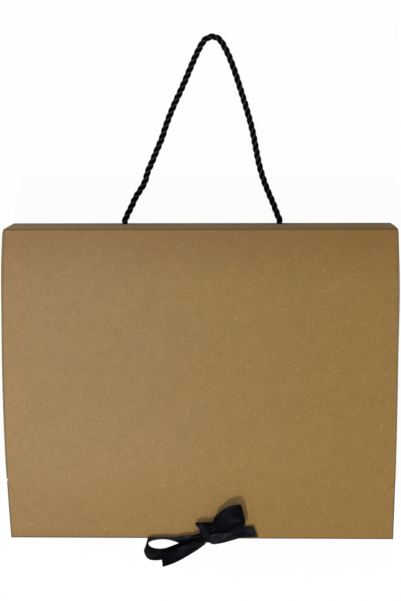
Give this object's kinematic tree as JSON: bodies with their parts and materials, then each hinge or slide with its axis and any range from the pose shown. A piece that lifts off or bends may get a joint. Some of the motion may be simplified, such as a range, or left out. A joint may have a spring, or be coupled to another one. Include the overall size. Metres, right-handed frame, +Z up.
{
  "type": "hinged lid gift box",
  "caption": "Flat hinged-lid gift box of brown kraft board with a twisted rope handle in its hinge wall and a black satin ribbon bow at the lid's free edge.",
  "frame": {"origin": "centre of the tray's underside, where the closed box rests on its back", "axes": "+X along the hinge, +Y towards the hinge wall and the rope handle, +Z up out of the lid's face"},
  "size_m": [0.356, 0.4831, 0.0597],
  "materials": {
    "kraft_board": "matt brown kraft liner with fine fibres",
    "kraft_board_inside": "matt brown kraft liner, the inner face",
    "twisted_rope": "black three-strand twisted rope",
    "satin_ribbon": "black satin, soft sheen"
  },
  "bodies": {
    "tray": {"back_panel": "kraft_board", "hinge_wall": "kraft_board", "front_wall_outer": "kraft_board", "front_wall_inner": "kraft_board_inside", "side_wall_outer_left": "kraft_board", "side_wall_outer_right": "kraft_board", "side_wall_inner_left": "kraft_board_inside", "side_wall_inner_right": "kraft_board_inside", "corner_flap_hinge_left": "kraft_board_inside", "corner_flap_hinge_right": "kraft_board_inside", "corner_flap_front_left": "kraft_board_inside", "corner_flap_front_right": "kraft_board_inside", "rope_handle": "twisted_rope", "rope_knot_left": "twisted_rope", "rope_knot_right": "twisted_rope", "ribbon_tray": "satin_ribbon"},
    "lid": {"lid_panel": "kraft_board", "lid_front_hem": "kraft_board_inside", "ribbon_lid": "satin_ribbon", "bow_knot": "satin_ribbon", "bow_loop_left": "satin_ribbon", "bow_loop_right": "satin_ribbon", "bow_tail_left": "satin_ribbon", "bow_tail_right": "satin_ribbon"},
    "rim_left": {"lid_rim_left": "kraft_board"},
    "rim_right": {"lid_rim_right": "kraft_board"},
    "tuck_flap": {"lid_tuck_flap": "kraft_board_inside"}
  },
  "joints": [
    {"name": "lid_hinge", "type": "hinge", "parent": "tray", "child": "lid", "pos_m": [0, 0.1425, 0.0485], "axis": [-1, 0, 0], "range_deg": [0, 180]},
    {"name": "rim_left_fold", "type": "hinge", "parent": "lid", "child": "rim_left", "pos_m": [-0.1792, 0, 0.0482], "axis": [0, 1, 0], "range_deg": [0, 90]},
    {"name": "rim_right_fold", "type": "hinge", "parent": "lid", "child": "rim_right", "pos_m": [0.1768, 0, 0.0482], "axis": [0, -1, 0], "range_deg": [0, 90]},
    {"name": "tuck_flap_fold", "type": "hinge", "parent": "lid", "child": "tuck_flap", "pos_m": [0, -0.1352, 0.0467], "axis": [1, 0, 0], "range_deg": [0, 90]}
  ]
}
